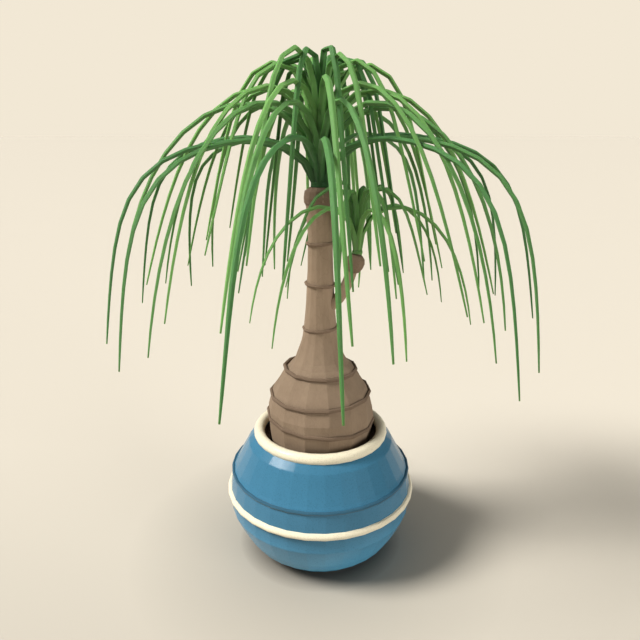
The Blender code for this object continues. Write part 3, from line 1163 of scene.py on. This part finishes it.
@dataclass
class PottingSoil:
    """The potting mix round the swollen base: an uneven bed with loose crumbs on it."""

    pot: GlazedPot
    trunk: PalmTrunk
    height: float = 0.1235
    sides: int = 72
    top_rows: int = 14
    top_edge: float = 0.994
    well_drop: float = 0.004
    # The scale and depth of the bed's lumps.
    lumps: tuple[float, float] = (110.0, 0.0007)
    crumb_count: int = 320
    crumb_sizes: tuple[float, float] = (0.0005, 0.0017)
    # How far the crumbs keep from the swollen base and from the wall.
    crumb_margins: tuple[float, float] = (0.0012, 0.0022)
    crumb_raggedness: float = 0.25
    crumb_rise: float = 0.35

    def build(self) -> None:
        """Model the bed and the crumbs, and dress them."""
        soil = SoilFinish("soil", (0.062, 0.040, 0.029), (0.175, 0.115, 0.082)).build()
        mount(self.bed(), Slot.SOIL, soil, "soil")
        mount(self.crumbs(), Slot.SOIL, soil)

    def lump(self, point: Vector) -> float:
        """How far the bed rises or sinks at a place."""
        scale, depth = self.lumps
        return depth * noise.fractal(Vector((point.x * scale, point.y * scale, 2.0)), 0.7, 2.0, 4)

    def hollow_radius(self, height: float) -> float:
        """The radius of the hollow round the swollen base at a height."""
        return radius_at(self.trunk.outline, height) * (1.0 + self.trunk.unevenness) + GAP

    def bed(self) -> bpy.types.Object:
        """The bed, which fills the pot and leaves a hollow for the swollen base.

        Returns:
            The finished piece.
        """
        floor = self.pot.floor + GAP
        wall = [(radius - GAP, max(height, floor)) for radius, height in reversed(self.pot.inner_wall)
                if height < self.height]
        edge = radius_at(self.pot.inner_wall, self.height) - GAP
        inner = self.hollow_radius(self.height)
        outer = edge * self.top_edge
        top = [(outer + (inner - outer) * (k / self.top_rows), self.height) for k in range(self.top_rows + 1)]
        well = [(self.hollow_radius(height), height) for _, height in reversed(self.trunk.outline)
                if height < self.height - self.well_drop]
        rings = []
        facet = math.cos(math.pi / self.pot.sides)
        for radius, height in wall:
            rings.append(level_ring(radius * facet, height, self.sides, 0.0))
        for radius, height in top:
            ring = level_ring(min(radius, edge * facet), height, self.sides, 0.0)
            rings.append([point + Vector((0, 0, self.lump(point))) for point in ring])
        for radius, height in well:
            rings.append(level_ring(radius, height - GAP, self.sides, 0.0))
        bed = skin("soil_bed", rings, Vector((0, 0, floor)), Vector((0, 0, self.trunk.foot - GAP)))
        face_out(bed)
        smooth(bed, 40.0)
        return bed

    def crumbs(self) -> bpy.types.Object:
        """Loose crumbs that lie on the bed, each a small rough clod.

        Returns:
            The finished piece.
        """
        deselect()
        bpy.ops.mesh.primitive_ico_sphere_add(subdivisions=1, radius=1.0)
        model = bpy.context.object
        rng = random.Random(11)
        inner = self.hollow_radius(self.height) + self.crumb_margins[0]
        wall = radius_at(self.pot.inner_wall, self.height) * math.cos(math.pi / self.pot.sides)
        outer = wall - self.crumb_margins[1]
        parts = []
        for _ in range(self.crumb_count):
            turn = rng.uniform(0.0, 2.0 * math.pi)
            radius = math.sqrt(rng.uniform(inner * inner, outer * outer))
            size = rng.uniform(*self.crumb_sizes) * rng.uniform(0.6, 1.0)
            place = Vector((radius * math.cos(turn), radius * math.sin(turn), self.height))
            place.z += self.lump(place) + size * self.crumb_rise
            mesh = model.data.copy()
            flat = rng.uniform(0.5, 0.9)
            for vertex in mesh.vertices:
                rough = 1.0 + rng.uniform(-self.crumb_raggedness, self.crumb_raggedness)
                vertex.co = place + Vector((vertex.co.x, vertex.co.y, vertex.co.z * flat)) * size * rough
            crumb = bpy.data.objects.new("crumb", mesh)
            bpy.context.scene.collection.objects.link(crumb)
            parts.append(crumb)
        bpy.data.objects.remove(model)
        return join("soil_crumbs", parts)


# ---------------------------------------------------------------- leaves


@dataclass(frozen=True)
class Tier:
    """One ring of leaves round a growing point, with angles in degrees above the horizontal.

    A leaf leaves its root at `launch`, settles to `arch` over the share `arch_span` of its length, and
    falls to `droop` round the share `bend` of it, the more abruptly the larger `sharpness` is. `tone` is
    how light its green is, from 0 to 1.
    """

    count: int
    seed: int
    root_radius: float
    root_height: float
    launch: float
    arch: float
    arch_span: float
    bend: float
    sharpness: float
    length: float
    droop: float
    tone: float


@dataclass
class LeafHead:
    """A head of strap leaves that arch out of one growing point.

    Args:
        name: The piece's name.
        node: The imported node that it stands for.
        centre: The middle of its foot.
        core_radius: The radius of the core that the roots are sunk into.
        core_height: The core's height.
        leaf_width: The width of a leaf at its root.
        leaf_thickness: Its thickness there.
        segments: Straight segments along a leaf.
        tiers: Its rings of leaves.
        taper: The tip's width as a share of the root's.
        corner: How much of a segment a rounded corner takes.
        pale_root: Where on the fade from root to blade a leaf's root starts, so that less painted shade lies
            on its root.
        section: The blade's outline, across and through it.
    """

    name: str
    node: str
    centre: Vector
    core_radius: float
    core_height: float
    leaf_width: float
    leaf_thickness: float
    segments: int
    tiers: Sequence[Tier]
    steps: int = 60
    taper: float = 0.34
    taper_power: float = 1.4
    tip_narrowing: float = 0.75
    corner: float = 0.06
    turn_jitter: float = 0.30
    angle_jitter: float = 3.0
    bend_jitter: float = 0.04
    length_jitter: float = 0.045
    sway_jitter: float = 5.0
    tone_jitter: float = 0.10
    pale_root: float = 0.0
    section: Profile = ((0.50, 0.07), (0.06, 0.42), (-0.06, 0.42), (-0.50, 0.07), (-0.50, -0.04),
                        (-0.07, -0.50), (0.07, -0.50), (0.50, -0.04))

    def build(self, material: bpy.types.Material) -> None:
        """Model the head and dress it.

        Args:
            material: The leaves' material.
        """
        mount(self.head(), Slot.LEAF, material, self.node)

    def leaf_line(self, tier: Tier, azimuth: float, launch: float, bend: float, length: float,
                  sway: float) -> Line:
        """Points along a leaf's middle with the azimuth at each, from its root to its tip.

        Args:
            tier: The ring of leaves that it belongs to.
            azimuth: The direction that it grows in.
            launch: The angle that it leaves its root at.
            bend: The share of its length where it falls.
            length: Its length.
            sway: How far it turns aside towards its tip.

        Returns:
            The points and azimuths.
        """
        radius = tier.root_radius
        height = self.centre.z + tier.root_height
        full = 1.0 + bend ** tier.sharpness
        step = length / self.steps
        line = []
        for k in range(self.steps + 1):
            turn = azimuth + sway * (k / self.steps) ** 2
            place = Vector((self.centre.x + radius * math.cos(turn), self.centre.y + radius * math.sin(turn),
                            height))
            line.append((place, turn))
            share = (k + 0.5) / self.steps
            fall = full * share ** tier.sharpness / (share ** tier.sharpness + bend ** tier.sharpness)
            rise = (launch - tier.arch) * math.exp(-share / tier.arch_span)
            slope = math.radians(tier.arch + rise - (tier.arch - tier.droop) * fall)
            radius += step * math.cos(slope)
            height += step * math.sin(slope)
        return line

    def tier_lines(self, tier: Tier) -> list[Line]:
        """The middle lines of a tier's leaves, spaced round the crown with a small seeded unevenness.

        Args:
            tier: The ring of leaves.

        Returns:
            One line for each leaf.
        """
        rng = random.Random(tier.seed)
        phase = rng.random()
        lines = []
        for i in range(tier.count):
            aside = rng.uniform(-self.turn_jitter, self.turn_jitter)
            azimuth = 2.0 * math.pi * (i + phase + aside) / tier.count
            launch = tier.launch + rng.uniform(-self.angle_jitter, self.angle_jitter)
            bend = tier.bend * (1.0 + rng.uniform(-self.bend_jitter, self.bend_jitter))
            length = tier.length * (1.0 + rng.uniform(-self.length_jitter, self.length_jitter))
            sway = math.radians(rng.uniform(-self.sway_jitter, self.sway_jitter))
            lines.append(self.leaf_line(tier, azimuth, launch, bend, length, sway))
        return lines

    def stations(self, line: Line) -> list[tuple[Vector, float, float]]:
        """Places along a leaf in straight segments whose corners are a little rounded.

        Args:
            line: The leaf's middle line.

        Returns:
            The places, each with its azimuth and its share of the leaf's length.
        """
        coarse = line[::self.steps // self.segments]
        last = len(coarse) - 1
        places = [(coarse[0][0], coarse[0][1], 0.0)]
        for i in range(1, last):
            (before, turn_before), (here, turn), (after, turn_after) = coarse[i - 1], coarse[i], coarse[i + 1]
            inward = here.lerp(before, self.corner)
            onward = here.lerp(after, self.corner)
            middle = here.lerp(inward.lerp(onward, 0.5), 0.5)
            for place, aside in ((inward, -self.corner), (middle, 0.0), (onward, self.corner)):
                other = turn_before if aside < 0 else turn_after
                places.append((place, turn + abs(aside) * (other - turn), (i + aside) / last))
        places.append((coarse[last][0], coarse[last][1], 1.0))
        return places

    def leaf(self, blade: Tube, line: Line, tone: float) -> bpy.types.Object:
        """One leaf: the straight blade laid along its line.

        Args:
            blade: The straight blade.
            line: The leaf's middle line.
            tone: How light its green is.

        Returns:
            The leaf.
        """
        places = self.stations(line)
        rings = []
        for i, (middle, turn, share) in enumerate(places):
            before = places[max(i - 1, 0)][0]
            after = places[min(i + 1, len(places) - 1)][0]
            across = Vector((-math.sin(turn), math.cos(turn), 0.0))
            face = across.cross((after - before).normalized())
            scale = 1.0 - (1.0 - self.taper) * share ** self.taper_power
            if share == 1.0:
                scale *= self.tip_narrowing
            rings.append([middle + across * self.leaf_width * scale * x
                          - face * self.leaf_thickness * scale * y for x, y in self.section])
        leaf = blade.copy("leaf", rings)
        mesh = leaf.data
        tones = mesh.attributes.new(TONE, "FLOAT", "POINT")
        along = mesh.attributes.new(ALONG, "FLOAT", "POINT")
        shares = [self.pale_root + (1.0 - self.pale_root) * places[row][2] for row, _ in blade.places]
        tones.data.foreach_set("value", [tone] * len(mesh.vertices))
        along.data.foreach_set("value", shares)
        strip = mesh.uv_layers.get(UV_NAME) or mesh.uv_layers.new(name=UV_NAME)
        for loop in mesh.loops:
            row, side = blade.places[loop.vertex_index]
            strip.data[loop.index].uv = (0.5 if side < 0 else self.section[side][0] + 0.5, places[row][2])
        return leaf

    def head(self) -> bpy.types.Object:
        """All the leaves and the small core that their roots are sunk into.

        Returns:
            The finished piece.
        """
        rows = 2 + 3 * (self.segments - 1)
        blade = Tube(len(self.section), rows)
        rng = random.Random(self.name)
        parts = []
        for tier in self.tiers:
            for line in self.tier_lines(tier):
                tone = tier.tone + rng.uniform(-self.tone_jitter, self.tone_jitter)
                parts.append(self.leaf(blade, line, min(1.0, max(0.0, tone))))
        parts.append(self.core())
        head = join(self.name, parts)
        face_out(head)
        smooth(head, 18.0)
        return head

    def core(self) -> bpy.types.Object:
        """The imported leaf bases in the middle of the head.

        Returns:
            The core, with the leaves' map and attributes.
        """
        sides = 24
        rings = []
        for share, rise in ((1.0, 0.0), (1.0, 0.35), (0.6, 0.85)):
            ring = level_ring(self.core_radius * share, self.core_height * rise, sides, 0.0)
            rings.append([point + self.centre for point in ring])
        core = skin("core", rings)
        mesh = core.data
        for name, value in ((TONE, self.tiers[0].tone), (ALONG, self.pale_root)):
            attribute = mesh.attributes.new(name, "FLOAT", "POINT")
            attribute.data.foreach_set("value", [value] * len(mesh.vertices))
        if mesh.uv_layers.get(UV_NAME) is None:
            mesh.uv_layers.new(name=UV_NAME)
        return core


# The tiers' tones are partly painted shade: the lowest tier, under the others, is the darkest.
MAIN_TIERS = (
    Tier(10, 7146, 0.0020, 0.0046, 88.0, 87.0, 1.0, 0.357, 11.5, 0.330, -79.0, 0.22),
    Tier(10, 8303, 0.0030, 0.0040, 86.0, 85.0, 1.0, 0.380, 7.0, 0.310, -75.0, 0.64),
    Tier(12, 5426, 0.0040, 0.0026, 88.0, 86.0, 1.0, 0.315, 3.2, 0.347, -75.0, 0.62),
    Tier(12, 96, 0.0050, 0.0030, 86.0, 84.0, 1.0, 0.315, 2.0, 0.342, -83.0, 0.36),
    Tier(13, 8962, 0.0058, 0.0034, 81.0, -20.0, 0.16, 0.560, 7.4, 0.342, -82.0, 0.14))
SIDE_TIERS = (
    Tier(7, 10778, 0.0015, 0.0026, 86.0, 84.0, 1.0, 0.390, 6.0, 0.180, -76.0, 0.46),
    Tier(7, 219, 0.0022, 0.0020, 82.0, 80.0, 1.0, 0.330, 2.2, 0.205, -82.0, 0.66))


# ---------------------------------------------------------------- studio


@dataclass(frozen=True)
class Lamp:
    """A far-off lamp.

    Args:
        name: The lamp's name.
        direction: Where its light comes from.
        share: Its share of the light on the floor.
        spread: How wide it looks from the floor, in degrees.
        gloss: Whether it is seen in glossy surfaces.
        colour: The colour of its light.
    """

    name: str
    direction: tuple[float, float, float]
    share: float
    spread: float
    gloss: bool
    colour: Colour = (1.0, 0.985, 0.96)

    def hang(self) -> None:
        """Add the lamp to the scene."""
        towards = Vector(self.direction).normalized()
        lamp = bpy.data.lights.new(self.name, "SUN")
        lamp.energy = self.share * math.pi / towards.z
        lamp.angle = math.radians(self.spread)
        lamp.color = self.colour
        thing = bpy.data.objects.new(self.name, lamp)
        bpy.context.scene.collection.objects.link(thing)
        thing.location = towards * 2.0
        thing.rotation_euler = (-towards).to_track_quat("-Z", "Y").to_euler()
        thing.visible_glossy = self.gloss


@dataclass(frozen=True)
class PaintedFloorShade:
    """A painted shade on the floor: where it starts and ends, and its factor at the end."""

    start: float
    end: float
    factor: float


@dataclass
class Studio:
    """A plain pale floor with painted shade round the foot and in front, soft light from the upper left and
    the camera.
    """

    floor_radius: float = 30.0
    floor_colour: Colour = (0.502, 0.461, 0.389)
    backdrop_colour: Colour = (0.888, 0.807, 0.665)
    lamps: Sequence[Lamp] = (
        Lamp("key", (-0.68, -0.13, 0.71), 0.81, 19.0, False),
        Lamp("gleam", (-0.68, -0.13, 0.71), 0.59, 24.0, True),
        Lamp("top", (-0.02, 0.08, 1.0), 0.19, 60.0, False),
        Lamp("side", (0.80, -0.60, 0.10), 0.100, 40.0, False))
    room_strength: float = 0.11
    # Painted shade: the floor is painted darker towards the viewer.
    front_painted_shade: PaintedFloorShade = PaintedFloorShade(0.20, -0.15, 0.86)
    # How far out the floor in front starts to brighten again out of its painted shade, and where it has.
    front_reach: tuple[float, float] = (0.7, 2.0)
    # Painted shadow round the foot: down to about a quarter of the floor's colour at the foot, back to full
    # 0.21 m out.
    foot_painted_shadow: PaintedFloorShade = PaintedFloorShade(0.21, 0.085, 0.74)
    contact_painted_shadow: PaintedFloorShade = PaintedFloorShade(0.090, 0.066, 0.36)
    camera_place: tuple[float, float, float] = (-0.0003, -0.572, 0.439)
    camera_pitch: float = 17.89
    lens: float = 33.75
    sensor: float = 36.0

    def build(self) -> None:
        """Set up the floor, the light and the camera."""
        self.floor()
        self.world()
        for lamp in self.lamps:
            lamp.hang()
        self.camera()
        bpy.context.scene.view_settings.view_transform = "Standard"

    def floor(self) -> None:
        """Lay a wide matt floor with painted shade: a painted shadow round the foot, and darker in front of
        it.
        """
        deselect()
        bpy.ops.mesh.primitive_circle_add(vertices=64, radius=self.floor_radius, fill_type="NGON",
                                          location=(0.0, 0.0, 0.0))
        floor = bpy.context.object
        floor.name = "floor"
        material, wires, shader = new_material("floor_paint")
        place = wires.place()
        tone = grain(wires, place, EVEN, 3.0, 0.6, shade(self.floor_colour, 0.985), self.floor_colour)
        reach = wires.add("VectorMath", set_operation="LENGTH", in0=place).outputs["Value"]
        # The painted shade and shadows: darker in front, round the foot and where the foot stands.
        front, foot, contact = (
            wires.ramp(source, fade.start, fade.end, 1.0, fade.factor)
            for source, fade in ((wires.axis(place, "Y"), self.front_painted_shade), (reach, self.foot_painted_shadow),
                                 (reach, self.contact_painted_shadow)))
        beyond = wires.ramp(reach, *self.front_reach, self.front_painted_shade.factor, 1.0)
        depth = wires.math("MAXIMUM", front, beyond)
        painted_floor_shade = wires.math("MULTIPLY", depth, wires.math("MULTIPLY", foot, contact))
        wires.tree.links.new(wires.dim(tone.outputs["Colour"], painted_floor_shade), shader.inputs["Base Color"])
        shader.inputs["Roughness"].default_value = 0.9
        shader.inputs["Specular IOR Level"].default_value = 0.1
        floor.data.materials.append(material)

    def world(self) -> None:
        """Light the room softly from all round, with a plain backdrop."""
        world = bpy.data.worlds.new("studio")
        bpy.context.scene.world = world
        world.use_nodes = True
        wires = Nodes(world.node_tree)
        out = next(node for node in world.node_tree.nodes if node.type == "OUTPUT_WORLD")
        back = next(node for node in world.node_tree.nodes if node.type == "BACKGROUND")
        back.inputs["Color"].default_value = (1.0, 1.0, 1.0, 1.0)
        back.inputs["Strength"].default_value = self.room_strength
        seen = wires.add("Background", Color=(*self.backdrop_colour, 1.0), Strength=1.0)
        ray = wires.add("LightPath").outputs["Is Camera Ray"]
        both = wires.add("MixShader", in0=ray, in1=back.outputs[0], in2=seen.outputs[0])
        world.node_tree.links.new(both.outputs[0], out.inputs["Surface"])

    def camera(self) -> None:
        """Set the camera in front of the plant, a little above it."""
        lens = bpy.data.cameras.new("camera")
        lens.sensor_width = self.sensor
        lens.lens = self.lens
        lens.clip_end = 100.0
        thing = bpy.data.objects.new("camera", lens)
        bpy.context.scene.collection.objects.link(thing)
        thing.location = self.camera_place
        thing.rotation_euler = (math.radians(90.0 - self.camera_pitch), 0.0, 0.0)
        bpy.context.scene.camera = thing


def main() -> None:
    """Build the pot, the trunk, the soil, the leaves and the studio, in that order."""
    logging.basicConfig(level=logging.INFO, format="%(message)s")
    pot = GlazedPot()
    pot.build()
    trunk = PalmTrunk()
    trunk.build()
    PottingSoil(pot, trunk).build()
    green = LeafFinish("leaf", dark=(0.044, 0.131, 0.047), light=(0.168, 0.334, 0.095),
                       root=(0.021, 0.070, 0.023), tip=(0.070, 0.120, 0.040), ribs=9.0).build()
    LeafHead("crown_blades", "crown_leaves", Vector((0, 0, trunk.top + GAP)), core_radius=0.0090,
             core_height=0.0120, leaf_width=0.0068, leaf_thickness=0.0054, segments=15,
             tiers=MAIN_TIERS).build(green)
    # The side leaves' roots start further along the fade, with less painted shade than the main head's.
    LeafHead("shoot_blades", "side_leaves", trunk.shoot_place(), core_radius=0.0050, core_height=0.0060,
             leaf_width=0.0054, leaf_thickness=0.0043, segments=12, tiers=SIDE_TIERS,
             pale_root=0.16).build(green)
    Studio().build()


if __name__ == "__main__":
    main()
